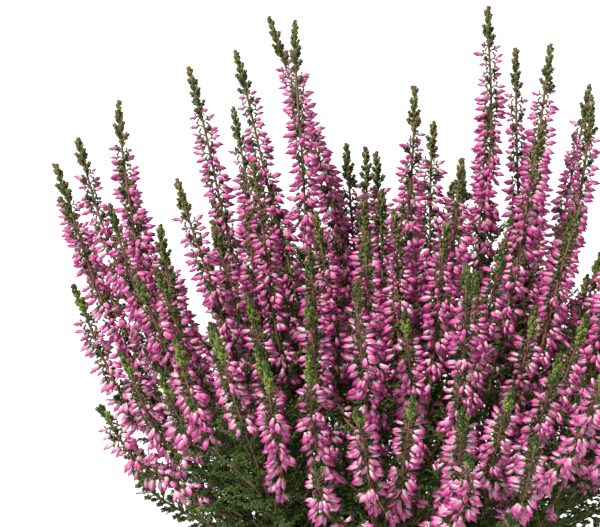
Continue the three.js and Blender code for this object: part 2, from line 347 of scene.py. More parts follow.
def spindle(rings, sides, ridge):
    """A closed body along +X from 0 to 1 through rings of (along, radius): y = radius cos(angle),
    z = radius sin(angle), with its sides out and in by turns by the ridge's share of the radius."""
    angles = TURN * np.arange(sides) / sides
    along, radius = np.array(rings).T[..., None]
    radius = radius * (1 + ridge * (-1.0) ** np.arange(sides))
    grid = np.stack(np.broadcast_arrays(along, radius * np.cos(angles), radius * np.sin(angles)), axis=-1)
    places = np.concatenate([[[0.0, 0.0, 0.0]], grid.reshape(-1, 3), [[1.0, 0.0, 0.0]]])
    ridges = np.concatenate([[0.5], np.tile(np.arange(sides) % 2, len(rings)), [0.5]])
    return Shape(places, skin_triangles(len(rings), sides), places[:, 0].copy(), ridges)


def bent_tube(points, radii, sides=3):
    """A closed tube through points in the XZ plane, with a ring at each: point + radius times a circle
    square to the line there."""
    points = np.asarray(points, float)
    heading = unit(np.gradient(points, axis=0))
    side = np.array([0.0, 1.0, 0.0])
    over = np.cross(heading, side)
    angles = TURN * np.arange(sides) / sides
    circle = np.cos(angles)[:, None] * side + np.sin(angles)[:, None] * over[:, None]
    grid = points[:, None] + np.asarray(radii)[:, None, None] * circle
    places = np.concatenate([points[:1], grid.reshape(-1, 3), points[-1:]])
    share = np.repeat(np.linspace(0, 1, len(points)), sides)
    along = np.concatenate([[0.0], share, [1.0]])
    return Shape(places, skin_triangles(len(points), sides)[:, ::-1], along, np.zeros(len(places)))


def set_out(shape, roots, axes, sizes):
    """Copies of a shape as one: root + the sum over its axes of place times size times axis."""
    roots, sizes = np.atleast_2d(roots), np.broadcast_to(sizes, (len(roots), 3))
    copies, count = len(roots), len(shape.places)
    places = roots[:, None] + np.einsum("nc,kc,kcd->knd", shape.places, sizes, axes)
    triangles = shape.triangles + (count * np.arange(copies))[:, None, None]
    return Shape(places.reshape(-1, 3), triangles.reshape(-1, 3),
                 np.tile(shape.along, copies), np.tile(shape.ridge, copies))


def joined(shapes):
    """Several shapes as one."""
    starts = np.cumsum([0] + [len(shape.places) for shape in shapes[:-1]])
    triangles = [shape.triangles + start for shape, start in zip(shapes, starts)]
    columns = [np.concatenate([getattr(s, name) for s in shapes]) for name in ("along", "ridge")]
    return Shape(np.concatenate([shape.places for shape in shapes]), np.concatenate(triangles), *columns)


def bud_shape():
    """A closed bud: round at its root, widest at its middle, with ridged sepals that close to a point."""
    return spindle([(0.09, 0.70), (0.56, 1.0)], sides=6, ridge=0.12)


def leaf_shape():
    """A scale leaf along +X from 0 to 1: a flattened three-sided pyramid from its point, which is the
    root, to its base, which is the leaf's blunt end."""
    flatness = 0.6
    angles = TURN * np.arange(3) / 3
    base = np.stack([np.ones(3), np.cos(angles), flatness * np.sin(angles)], axis=-1)
    places = np.concatenate([np.zeros((1, 3)), base])
    triangles = np.array([[0, 2, 1], [0, 3, 2], [0, 1, 3], [1, 2, 3]])
    return Shape(places, triangles, places[:, 0].copy(), np.zeros(4))


LEAF = leaf_shape()


def leaves_on(points, angles, lean, length, width):
    """Scale leaves at points by the X axis, leaning out from +X by lean at an angle around it."""
    out = np.stack([np.zeros(len(angles)), np.cos(angles), np.sin(angles)], axis=-1)
    forward = np.array([1.0, 0.0, 0.0]) * np.cos(lean)[:, None] + out * np.sin(lean)[:, None]
    sizes = np.stack([length, width, width], axis=-1)
    return set_out(LEAF, points, square_axes(forward, out), sizes)


def sprig_shape():
    """A short leafy side shoot, one long, along +X: a thin stalk whose crossed pairs of scale leaves
    close up into a blunt knob."""
    # Each pair: its place on the stalk, its lean in degrees, and the length and width of its leaves.
    pairs = np.array([(0.3, 19, 0.38, 0.18), (0.46, 14, 0.40, 0.21), (0.6, 5, 0.40, 0.19)])
    share, lean, length, width = np.repeat(pairs, 2, axis=0).T
    angles = np.pi * np.arange(6) + np.pi / 2 * np.repeat(np.arange(3), 2)
    skin = 0.05
    points = np.stack([share, skin * np.cos(angles), skin * np.sin(angles)], axis=-1)
    stalk = bent_tube([(0, 0, 0), (0.8, 0, 0)], [0.07, 0.1])
    return joined([stalk, leaves_on(points, angles, np.radians(lean), length, width)])


def twig_shape(variant):
    """A feathery twig, one long, along +X and curving up: z = bend x^2, with leaves in crossed pairs
    that shorten and close up towards its end."""
    rng = np.random.default_rng(SEED + variant)
    bend, pairs, twist, leaf_width = rng.uniform(0.12, 0.3), 8, 1.2, 0.05
    count = 2 * pairs
    share = np.repeat(np.linspace(0.06, 0.94, pairs), 2)
    angles = np.pi * np.arange(count) + twist * np.repeat(np.arange(pairs), 2)
    angles += rng.normal(0, 0.25, count)
    lean = np.radians(rng.uniform(28, 48, count)) * mix(1.0, 0.45, share)
    length = rng.uniform(0.17, 0.25, count) * mix(1.0, 0.8, share)
    leaves = leaves_on(np.outer(share, (1, 0, 0)), angles, lean, length, np.full(count, leaf_width))
    along = np.linspace(0, 1, 3)
    stalk = bent_tube(np.outer(along, (1, 0, 0)), mix(0.03, 0.022, along))
    twig = joined([stalk, leaves])
    twig.places[:, 2] += bend * twig.places[:, 0] ** 2
    return twig


def stalk_shape():
    """The stalk of a few buds, in millimetres: it rises from the stem along +X and levels out."""
    t = np.array([[0.0], [0.5], [1.0]])
    curve = 2 * t * (1 - t) * np.array([1.1, 0, 1.6]) + t * t * np.array([2.5, 0, 1.3])
    return bent_tube(curve, [0.3, 0.33, 0.56])


def bracts_shape():
    """The four small bracts of a stalk, in millimetres: one at its foot, two at its end, one below."""
    roots = np.array([[0.6, 0.0, 0.6], [1.9, 0.0, 1.2], [1.9, 0.1, 0.9], [1.5, 0.0, -0.3]])
    forward = np.array([[1.5, 0.0, -1.2], [0.4, 0.0, 0.9], [0.9, 0.2, -0.25], [0.7, 0.1, -0.7]])
    sizes = np.array([[2.0, 0.62, 0.78], [1.8, 0.6, 0.6], [1.8, 0.6, 0.6], [1.6, 0.58, 0.58]])
    return set_out(LEAF, roots, square_axes(forward, np.array([0.3, 1.0, 0.0])), sizes)


BUD, STALK, BRACTS, SPRIG = bud_shape(), stalk_shape(), bracts_shape(), sprig_shape()
SCALE_LEAF = set_out(LEAF, np.zeros((1, 3)), np.eye(3)[None], [1.0, 0.26, 0.26])
TWIGS = [twig_shape(variant) for variant in range(3)]
PETALS, LEAVES, BARK = range(3)


class Growth:
    """One plant piece, gathered from small shapes, with the values that its finishes read: along and
    ridge come from the shapes, tone is light or dark by chance and is raised on stalks, bracts and leaves
    among the buds, which darkens them as their own dark colour and as painted shade between the buds,
    and fresh is how new a leaf is, from -1 where it is browned to 1, or how ripe a bud is."""

    def __init__(self):
        self.places, self.triangles, self.finishes = [], [], []
        self.values = {"along": [], "ridge": [], "tone": [], "fresh": []}
        self.count = 0

    def add(self, shape, finish, tone=0.5, fresh=0.0):
        """Adds a shape. Tone and fresh are one number, or one for each of its copies."""
        count = len(shape.places)
        for name, value in (("tone", tone), ("fresh", fresh)):
            value = np.atleast_1d(value)
            self.values[name].append(np.repeat(value, count // len(value)))
        self.values["along"].append(shape.along)
        self.values["ridge"].append(shape.ridge)
        self.places.append(shape.places)
        self.triangles.append(shape.triangles + self.count)
        self.finishes.append(np.full(len(shape.triangles), finish))
        self.count += count

    def tube(self, path, s, radii, sides, tone):
        """Bark: rings of radius times a circle square to the path at lengths s, with closed ends."""
        angles = TURN * np.arange(sides) / sides
        out = path.outward(np.repeat(s, sides), np.tile(angles, len(s)))
        grid = np.repeat(path.place(s), sides, axis=0) + np.repeat(radii, sides)[:, None] * out
        ends = path.place(np.array([s[0], s[-1]]))
        places = np.concatenate([ends[:1], grid, ends[1:]])
        along = np.concatenate([s[:1], np.repeat(s, sides), s[-1:]]) / path.length
        triangles = skin_triangles(len(s), sides)
        self.add(Shape(places, triangles, along, np.zeros(len(places))), BARK, tone)

    def piece(self, name, finishes):
        """The gathered mesh as an object."""
        places = np.concatenate(self.places)
        mesh = new_mesh(name, places, np.concatenate(self.triangles))
        for finish in finishes:
            mesh.materials.append(finish)
        mesh.polygons.foreach_set("material_index", np.concatenate(self.finishes).astype(np.int32))
        for key, value in self.values.items():
            column = mesh.attributes.new(key, "FLOAT", "POINT")
            column.data.foreach_set("value", np.concatenate(value).astype(np.float32))
        return new_object(name, mesh)


def new_mesh(name, places, triangles):
    """A smooth-shaded mesh of triangles."""
    mesh = bpy.data.meshes.new(name)
    mesh.vertices.add(len(places))
    mesh.vertices.foreach_set("co", places.astype(np.float32).ravel())
    mesh.loops.add(triangles.size)
    mesh.loops.foreach_set("vertex_index", triangles.astype(np.int32).ravel())
    mesh.polygons.add(len(triangles))
    mesh.polygons.foreach_set("loop_start", np.arange(0, triangles.size, 3, dtype=np.int32))
    mesh.update(calc_edges=True)
    mesh.shade_smooth()
    if mesh.validate():
        raise RuntimeError(f"the mesh of {name} had faults")
    return mesh


def new_object(name, data):
    """An object in the scene, at the origin."""
    made = bpy.data.objects.new(name, data)
    bpy.context.scene.collection.objects.link(made)
    return made


def lathe(radii, heights, columns):
    """A closed skin turned about Z through (radius, height) from one point on the axis to another:
    x = radius cos(angle), y = radius sin(angle)."""
    angles = TURN * np.arange(columns) / columns
    inner, level = radii[1:-1, None], np.broadcast_to(heights[1:-1, None], (len(radii) - 2, columns))
    grid = np.stack([inner * np.cos(angles), inner * np.sin(angles), level], -1).reshape(-1, 3)
    ends = np.array([[0, 0, heights[0]], [0, 0, heights[-1]]])
    return np.concatenate([ends[:1], grid, ends[1:]]), skin_triangles(len(radii) - 2, columns)


# ------------------------------------------------------------------ finishes
class Wire:
    """A socket of a finish that takes part in sums, so that 1 - mask adds its own Math node."""

    def __init__(self, finish, socket):
        self.finish, self.socket = finish, socket

    def _math(self, operation, first, second):
        return self.finish.node("ShaderNodeMath", {"operation": operation}, {0: first, 1: second})

    def __add__(self, other):
        return self._math("ADD", self, other)

    def __sub__(self, other):
        return self._math("SUBTRACT", self, other)

    def __rsub__(self, other):
        return self._math("SUBTRACT", other, self)

    def __mul__(self, other):
        return self._math("MULTIPLY", self, other)

    __radd__ = __add__
    __rmul__ = __mul__


class Finish:
    """A material in the making, with the constants of its shader set on the shader's own sockets."""

    def __init__(self, name, constants):
        self.material = bpy.data.materials.new(name)
        self.material.use_nodes = True
        self.tree = self.material.node_tree
        self.shader = self.tree.nodes["Principled BSDF"]
        for socket, value in constants.items():
            self.shader.inputs[socket].default_value = value

    def node(self, kind, settings=None, inputs=None, output=0):
        """Adds a node: its settings first, then the values or wires of its sockets."""
        made = self.tree.nodes.new(kind)
        for name, value in (settings or {}).items():
            if name == "stops":
                self._set_stops(made.color_ramp.elements, value)
            else:
                setattr(made, name, value)
        for name, value in (inputs or {}).items():
            self.feed(made.inputs[name], value)
        return Wire(self, made.outputs[output])

    @staticmethod
    def _set_stops(elements, stops):
        while len(elements) < len(stops):
            elements.new(1.0)
        for element, (position, colour) in zip(elements, stops):
            element.position = position
            element.color = (*colour, 1.0)

    def feed(self, socket, value):
        if isinstance(value, Wire):
            self.tree.links.new(value.socket, socket)
        else:
            socket.default_value = value

    def drive(self, **sockets):
        """Wires into the shader: Base_Color=..., Roughness=..., Normal=..."""
        for name, value in sockets.items():
            self.feed(self.shader.inputs[name.replace("_", " ")], value)

    def value(self, name):
        """A value that the piece carries at each place."""
        return self.node("ShaderNodeAttribute", {"attribute_name": name}, output="Fac")

    def ramp(self, share, stops):
        return self.node("ShaderNodeValToRGB", {"stops": stops}, {"Fac": share}, output="Color")

    def blend(self, share, first, second):
        """The first colour where share is 0 and the second where it is 1."""
        settings = {"data_type": "RGBA", "clamp_factor": True}
        ends = [value if isinstance(value, Wire) else (*value, 1.0) for value in (first, second)]
        return self.node("ShaderNodeMix", settings, {0: share, 6: ends[0], 7: ends[1]}, output=2)

    def noise(self, scale, detail=2.0, stretch=(1, 1, 1)):
        """Soft noise on the object's own coordinates, scale lumps to a metre."""
        place = self.node("ShaderNodeTexCoord", output="Object")
        spread = self.node("ShaderNodeMapping", None, {"Vector": place, "Scale": stretch})
        sockets = {"Vector": spread, "Scale": scale, "Detail": detail}
        return self.node("ShaderNodeTexNoise", None, sockets, output="Fac")

    def bump(self, height, distance, strength):
        sockets = {"Height": height, "Distance": distance, "Strength": strength}
        return self.node("ShaderNodeBump", None, sockets, output="Normal")


def petal_finish(colours):
    """Pink petals, pale at the root and dark at the point, paler as they ripen, streaked along the edges
    of the sepals, warmer here and there, and orange-brown on the few buds that dry."""
    finish = Finish("pink_petals", {"Roughness": 0.42, "Specular IOR Level": 0.35})
    tone, ripe = finish.value("tone"), finish.value("fresh")
    along = finish.value("along") + tone * 0.28 - ripe * 0.22 - 0.04
    ramp = finish.ramp(along, [
        (0.14, colours.petal_root), (0.39, colours.petal_light), (0.68, colours.petal_body),
        (0.95, colours.petal_point),
    ])
    warmed = finish.blend(finish.noise(900.0) * 0.8 - 0.33, ramp, colours.petal_dry)
    streaks = finish.value("ridge") * 0.6 + finish.noise(1400.0) * 0.7 - 0.4
    streaked = finish.blend(streaks, warmed, colours.petal_point)
    dried = tone * 12.0 - 15.0  # from a tone of 1.25 on
    finish.drive(Base_Color=finish.blend(dried, streaked, colours.petal_dry))
    return finish.material


def leaf_finish(colours):
    """Scale leaves, olive at the root and dark at the end, yellow-green where they are fresh (1), and
    browned where they end a stem (-1). A higher tone darkens them: by chance, and among the buds as
    their own dark green together with painted shade between the buds."""
    finish = Finish("green_leaves", {"Roughness": 0.5, "Specular IOR Level": 0.22})
    along, tone, fresh = finish.value("along"), finish.value("tone"), finish.value("fresh")
    old = finish.ramp(along, [(0.2, colours.leaf_root), (1.0, colours.leaf_dark)])
    new = finish.ramp(along, [(0.0, colours.leaf_fresh_root), (0.9, colours.leaf_fresh)])
    # Darker with the tone: at random, and among the buds partly their own dark green, partly painted shade.
    dark_and_shade = finish.blend(tone * 0.5 + finish.noise(700.0) * 0.3 - 0.1, old, colours.leaf_dark)
    browned = finish.blend((0.0 - fresh) * 0.8, dark_and_shade, colours.leaf_brown)
    finish.drive(Base_Color=finish.blend(fresh, browned, new))
    return finish.material


def bark_finish(colours):
    """Bark, dark at its foot, tan below the flowers, mauve-brown among them and olive at the tip."""
    finish = Finish("stem_bark", {"Roughness": 0.7})
    along, tone = finish.value("along"), finish.value("tone")
    ramp = finish.ramp(along, [
        (0.0, colours.bark_foot), (0.2, colours.bark_middle), (0.5, colours.bark_middle),
        (0.7, colours.bark_top), (0.94, colours.bark_top), (1.0, colours.leaf_root),
    ])
    # Tone darkens the bark too; on the bud stalks it is raised, partly as painted shade between the buds.
    patches = finish.noise(900.0, stretch=(1, 1, 0.2)) * 0.8 + tone * 0.25 - 0.32
    finish.drive(Base_Color=finish.blend(patches, ramp, colours.bark_foot))
    return finish.material


def plastic_finish(colour, scuffed):
    """Matte moulded plastic: faint clouding, fine grain, and paler scuffs."""
    finish = Finish("pot_plastic", {"Specular IOR Level": 0.45})
    clouds, grain = finish.noise(18.0, 4.0), finish.noise(2600.0, 2.0)
    scuffs = finish.ramp(finish.noise(160.0, 6.0, (1, 1, 0.35)), [(0.6, (0, 0, 0)), (0.74, (1, 1, 1))])
    tinted = finish.blend(clouds * 0.5, colour, tuple(0.8 * c for c in colour))
    finish.drive(
        Base_Color=finish.blend(scuffs * 0.35, tinted, scuffed),
        Roughness=finish.noise(40.0, 4.0) * 0.25 + 0.42,
        Normal=finish.bump(grain, 0.00012, 0.5),
    )
    return finish.material


def peat_finish(colour, dry):
    """Moist peat: dark crumbs, with drier brown fibres on the lumps."""
    finish = Finish("moist_peat", {"Specular IOR Level": 0.2})
    crumbs, fibres = finish.noise(420.0, 6.0), finish.noise(1500.0, 4.0, (1, 0.25, 1))
    mask = finish.ramp(crumbs * 0.6 + fibres * 0.4, [(0.42, (0, 0, 0)), (0.68, (1, 1, 1))])
    finish.drive(
        Base_Color=finish.blend(mask, colour, dry),
        Roughness=0.98 - crumbs * 0.2,
        Normal=finish.bump(crumbs + fibres * 0.5, 0.0008, 0.8),
    )
    return finish.material


def floor_finish(colour):
    """A plain pale floor with a faint speckle."""
    finish = Finish("studio_floor", {"Roughness": 0.9, "Specular IOR Level": 0.0})
    speckle = finish.noise(3.0, 2.0)
    finish.drive(Base_Color=finish.blend(speckle * 0.1, colour, tuple(0.98 * c for c in colour)))
    return finish.material


# ------------------------------------------------------------------ dressing the stems
RIM_INNER, RIM_OUTER, RIM_TOP = 59.5 * MM, 69.5 * MM, 103 * MM  # the pot's rim, with room for a leaf
PATH_STEPS, BARK_STEP, BARK_SIDES = 240, 4 * MM, 5
# Zones of height where stems are tall, are short and have fresh leaves and where buds are ripe, and
# zones of distance from the middle where stems are inside the crown and at its edge.
TALL, SHORT, FRESH, RIPE = (225 * MM, 50 * MM), (195 * MM, 30 * MM), (238 * MM, 40 * MM), (214 * MM, 70 * MM)
INNER, OUTER = (110 * MM, 60 * MM), (120 * MM, 40 * MM)

# Pairs are ranges: of chance, from low stems to tall ones, or from a stem's lowest flowers to its top.
TIP_SHARES, SHORT_TIP, TIP_CHANCE = (0.78, 1.0), 0.42, (0.85, 1.15)
LEADER_GIRTH, SIDE_GIRTH, TOP_GIRTH = 1.45, 1.2, 0.82
FRESH_CHANCE, LEAST_FRESH, FRESH_LOWER = (0.7, 1.05), 0.12, 0.3
STALK_GAPS, STALK_GAP_CHANCE, STALK_CROWDING = (0.8, 0.88), (0.9, 1.12), (0.95, 1.08)
LOWEST_KEPT, THINNED_SHARE, INNER_CROWD, OUTER_CROWD = 0.28, 0.36, 0.16, 0.08
LOW_SIZE, TOP_SIZES, LOWEST_SIZE, SIZE_CHANCE = 1.06, (0.84, 0.78), 0.78, (0.9, 1.1)
RANK_CHANCE, RANK_SPREAD, DROOP_POWER, ASIDE_SHIFT = 0.35, (2.5, 0.85), 1.4, 0.7
# The stalk tones reach above 1, which darkens the stalks and their bracts: partly their own dark colour,
# partly painted shade between the buds.
STALK_TONES_AND_SHADE, BRACTS_FRESH, RIPE_CHANCE = (0.5, 1.8), (-0.9, 0.1), (0.3, 1.0)
TILT_CHANCE, TILT_SPREAD, SWING_CHANCE, TOP_CHANCE = 0.42, (1.2, 0.7), 0.4, 0.06
LENGTH_CHANCE, WIDTH_CHANCE = (0.78, 1.12), (0.9, 1.1)
BUD_TONE, TONE_SPREAD, DRIEST_TONE = 0.5, 0.27, 1.3

# The shade numbers raise the tone of the side shoots and scale leaves among the buds, which darkens them:
# partly their own dark green, partly painted shade between the buds.
SPRIG_LEAN, SPRIG_SIZES, SPRIG_BROWNED, SPRIG_DARK_AND_SHADE = 0.7, (0.6, 1.25), (-0.2, 0.6), 1.4
SCALE_GAP, SCALE_LEAN, SCALE_LENGTHS = 1.15 * MM, 0.6, (1.9 * MM, 3.1 * MM)
SCALE_FRESH, SCALE_DARK_AND_SHADE, SCALES_LOST = (-0.7, 0.25), 0.9, 0.9
TWIG_LEAN, TWIG_LENGTHS, TWIG_FRESH = (38, 62), (13 * MM, 21 * MM), 0.08
TWIG_SHRINK, TWIG_RISE, LEAST_TWIGS, OUTER_TWIGS = (1.15, 0.55), 1.5, 0.3, 0.55
INNER_CLOSER, OUTER_CLOSER, PATCH_CLOSER = 0.15, 0.28, 0.25
INNER_TWIG_SIZE, OUTER_TWIG_SIZE, INNER_SPRIG_GAP = 1.05, 0.62, 1.3
SHOOT_TWIGS, SHOOT_TWIG_GAP, SHOOT_TWIG_FRESH = (3.2 * MM, 6 * MM), 0.6, 0.05
SHOOT_LEAN, SHOOT_SIZES = 0.9, (0.75, 1.2)

# The leafy end of a stem. The first four say how far below its top its side shoots stop, its browned
# leaves and its knob start, and its scale leaves stop.
END_SPRIGS, END_BROWNED, END_KNOB, END_SCALES = 2.2 * MM, 5.8 * MM, 3.6 * MM, 3.4 * MM
END_LEANS, END_LEAN_SPREAD, FRESH_LEAN, FRESH_GAP = (36, 16), 0.06, 0.72, 0.75
END_SIZES, END_SIZE_CHANCE, END_FRESH = (1.0, 0.58), (0.88, 1.12), (-1.1, 0.1)
END_TURN_CHANCE, END_TURN_SPREAD, KNOB_LENGTH, KNOB_LEAN, KNOB_BROWNED = 0.4, 0.2, 3.8 * MM, 0.02, 0.9
END_SCALE_GAP, END_SCALE_LENGTH, END_SCALE_LEAN, END_SCALE_FRESH = 0.7 * MM, 2.8 * MM, 0.36, 0.5


@dataclass
class BudKind:
    """One bud of a stalk: how far out and up it sits, in millimetres, how much more it hangs and how far
    aside it points, in radians, and up to which share of the flowers' height it grows."""

    reach: float
    rise: float
    hang: float
    aside: float
    top: float


BUD_KINDS = [
    BudKind(2.4, 1.2, 0.0, 0.0, 1.1), BudKind(2.0, -0.65, 0.18, 0.2, 0.94),
    BudKind(1.5, 0.4, 0.1, -0.8, 0.84),
]


def spread_along(low, high, gap, rng):
    """Lengths from low to high about a gap apart, each moved by up to a sixth of it."""
    steps = np.arange(low, high, gap)
    return steps + gap * rng.uniform(-1 / 6, 1 / 6, len(steps))


def clear_of_rim(roots, ends):
    """Which of the lines from roots to ends stay inside the pot's rim, outside it, or above it."""
    near, far = np.hypot(roots[:, 0], roots[:, 1]), np.hypot(ends[:, 0], ends[:, 1])
    steps = [np.clip((rim - near) / np.maximum(far - near, MM), 0, 1) for rim in (RIM_INNER, RIM_OUTER)]
    heights = [mix(roots[:, 2], ends[:, 2], step) for step in steps]
    return (far < RIM_INNER) | (near > RIM_OUTER) | (np.minimum(*heights) > RIM_TOP)


class StemDresser:
    """Adds to a growth what one stem carries, with each place found by its length s along the stem."""

    def __init__(self, growth, stem, look):
        self.growth, self.stem, self.look = growth, stem, look
        self.rng = np.random.default_rng([SEED, stem.item])
        self.path = Path(axis(stem, np.linspace(stem.start, stem.tip, PATH_STEPS)))
        self.tall = above(stem.tip, *TALL)
        tip_share = mix(*TIP_SHARES, self.tall) - SHORT_TIP * below(stem.tip, *SHORT)
        self.tip_foot = self.path.length - look.tip_length * tip_share * self.rng.uniform(*TIP_CHANCE)

    def dress(self):
        """The stem's bark, its leaves or its flowers, and its leafy end."""
        self.add_bark()
        fresh = below(self.stem.tip, *FRESH) * self.rng.uniform(*FRESH_CHANCE)
        fresh = max(fresh, LEAST_FRESH * self.rng.uniform())
        if self.stem.leafy:
            self.add_leaves(fresh)
        else:
            self.add_flowers(fresh)
        self.add_leafy_end(fresh)

    def add_bark(self):
        """A tube that thins with the root of the share of its length, thicker where it leads a spray."""
        length = self.path.length
        s = np.linspace(0, length - MM, max(8, int(length / BARK_STEP)))
        foot = LEADER_GIRTH if self.stem.parent is None else SIDE_GIRTH
        radii = self.look.stem_width / 2 * mix(foot, TOP_GIRTH, (s / length) ** 0.5)
        self.growth.tube(self.path, s, radii, BARK_SIDES, self.rng.uniform(0, 1))

    def add_leaves(self, fresh):
        """A leafy shoot's short twigs, and the side shoots between them."""
        rng, look = self.rng, self.look
        low = self.path.length_at(LEAVES_FROM)
        s = spread_along(low, self.tip_foot, look.twig_gap * SHOOT_TWIG_GAP, rng)
        self.add_twigs(s, rng.uniform(*SHOOT_TWIGS, len(s)), SHOOT_TWIG_FRESH)
        s = spread_along(low, self.tip_foot, look.tip_gap, rng)
        angles = self.golden_turns(s)
        lengths = look.sprig_length * rng.uniform(*SHOOT_SIZES, len(s))
        self.add_sprigs(s, angles, SHOOT_LEAN, lengths, fresh * FRESH_LOWER)

    def add_flowers(self, fresh):
        """A flowering stem's buds, the side shoots and scale leaves among them, and the twigs below."""
        rng, look, stem, tip_foot = self.rng, self.look, self.stem, self.tip_foot
        inner, outer = below(stem.from_middle, *INNER), above(stem.from_middle, *OUTER)
        low = self.path.length_at(bloom_foot(stem))
        self.add_buds(low, 1 - INNER_CROWD * inner - OUTER_CROWD * outer)

        s = spread_along(low, tip_foot, look.sprig_gap * mix(1.0, INNER_SPRIG_GAP, inner), rng)
        angles = self.golden_turns(s)
        lengths = look.sprig_length * rng.uniform(*SPRIG_SIZES, len(s))
        browned = fresh * FRESH_LOWER - rng.uniform(*SPRIG_BROWNED, len(s))
        # The side shoots among the buds are darkened, partly as painted shade between the buds.
        self.add_sprigs(s, angles, SPRIG_LEAN, lengths, browned, dark_and_shade=SPRIG_DARK_AND_SHADE)

        s = spread_along(low, tip_foot, SCALE_GAP, rng)
        s = s[rng.uniform(0, 1, len(s)) > SCALES_LOST * self.tall * (s - low) / (tip_foot - low)]
        lengths, browned = rng.uniform(*SCALE_LENGTHS, len(s)), rng.uniform(*SCALE_FRESH, len(s))
        angles = GOLDEN_ANGLE * np.arange(len(s))
        # The scale leaves among the buds are darkened too, partly as painted shade between the buds.
        self.add_sprigs(s, angles, SCALE_LEAN, lengths, browned, SCALE_LEAF, SCALE_DARK_AND_SHADE)

        first = self.path.length_at(LEAVES_FROM) if stem.parent is None else 4 * MM
        upto = max(first, mix(low, tip_foot, max(LEAST_TWIGS, OUTER_TWIGS * outer)))
        gap = look.twig_gap * (1 - INNER_CLOSER * inner) * (1 - OUTER_CLOSER * outer)
        gap *= 1 - PATCH_CLOSER * in_patch(stem)
        s = spread_along(first, upto, gap, rng)
        rise = np.clip((s - first) / (low - first), 0, TWIG_RISE)
        lengths = rng.uniform(*TWIG_LENGTHS, len(s)) * mix(*TWIG_SHRINK, rise / TWIG_RISE)
        lengths *= mix(1.0, OUTER_TWIG_SIZE, outer) * mix(1.0, INNER_TWIG_SIZE, inner)
        self.add_twigs(s, lengths, TWIG_FRESH)

    def add_buds(self, low, crowd):
        """Side stalks in two broad ranks, each with up to three buds, which point outwards at the top of
        the flowers and hang lower down. A share is 0 at the lowest stalk and 1 at the top one."""
        rng, path, look, tall = self.rng, self.path, self.look, self.tall
        high = self.tip_foot - MM
        gap = look.bud_gap * crowd * mix(*STALK_GAPS, tall) * rng.uniform(*STALK_GAP_CHANCE)
        s = spread_along(low, high, gap, rng)
        if not len(s):
            return
        share = np.clip((s - low) / (high - low), 0, 1) ** mix(*STALK_CROWDING, tall)
        share = share[rng.uniform(0, 1, len(s)) < mix(LOWEST_KEPT, 1.0, smooth(share / THINNED_SHARE))]
        s = mix(low, high, share)
        size = mix(LOW_SIZE, mix(*TOP_SIZES, tall), share ** 5) * mix(LOWEST_SIZE, 1.0, smooth(6 * share))
        size *= rng.uniform(*SIZE_CHANCE, len(s))
        ranks = rng.uniform(-RANK_CHANCE, RANK_CHANCE) + np.pi * np.arange(len(s))
        angles = ranks + rng.uniform(-1, 1, len(s)) * mix(*RANK_SPREAD, share)
        out, along = path.outward(s, angles), path.heading(s)
        side = np.cross(along, out)
        axes = np.stack([out, side, along], axis=-2)
        sizes = (MM * size)[:, None] * np.ones(3)
        # Stalks and bracts get raised tones: darker, partly as painted shade between the buds.
        tone, browned = rng.uniform(*STALK_TONES_AND_SHADE, len(s)), rng.uniform(*BRACTS_FRESH, len(s))
        self.growth.add(set_out(STALK, path.place(s), axes, sizes), BARK, tone)
        self.growth.add(set_out(BRACTS, path.place(s), axes, sizes), LEAVES, tone, browned)
        ripe = below(path.place(s)[:, 2], *RIPE) * rng.uniform(*RIPE_CHANCE, len(s))

        down = -unit(along + UP)
        droop = np.radians(mix(look.droop_low, look.droop_top, share ** DROOP_POWER))
        for kind in BUD_KINDS:
            grows = share + TOP_CHANCE * rng.uniform(-1, 1, len(s)) < kind.top
            if not grows.any():
                continue
            k = int(grows.sum())
            o, a, d, t = out[grows], along[grows], down[grows], side[grows]
            scale = size[grows][:, None]
            place = kind.reach * o + kind.rise * a + ASIDE_SHIFT * kind.aside * t
            sag = rng.uniform(-TILT_CHANCE, TILT_CHANCE, k) * mix(*TILT_SPREAD, share[grows])
            tilt = (droop[grows] + kind.hang + sag)[:, None]
            swing = (kind.aside + rng.uniform(-SWING_CHANCE, SWING_CHANCE, k))[:, None]
            forward = (o * np.cos(swing) + t * np.sin(swing)) * np.cos(tilt) + d * np.sin(tilt)
            length = look.bud_length * scale[:, 0] * rng.uniform(*LENGTH_CHANCE, k)
            width = length * look.bud_width / look.bud_length / 2 * rng.uniform(*WIDTH_CHANCE, k)
            turned = rolled(square_axes(forward, UP), rng.uniform(0, TURN, k))
            roots = path.place(s[grows]) + MM * scale * place
            buds = set_out(BUD, roots, turned, np.stack([length, width, width], axis=-1))
            tones = np.clip(rng.normal(BUD_TONE, TONE_SPREAD, k), 0, DRIEST_TONE)
            self.growth.add(buds, PETALS, tones, ripe[grows])

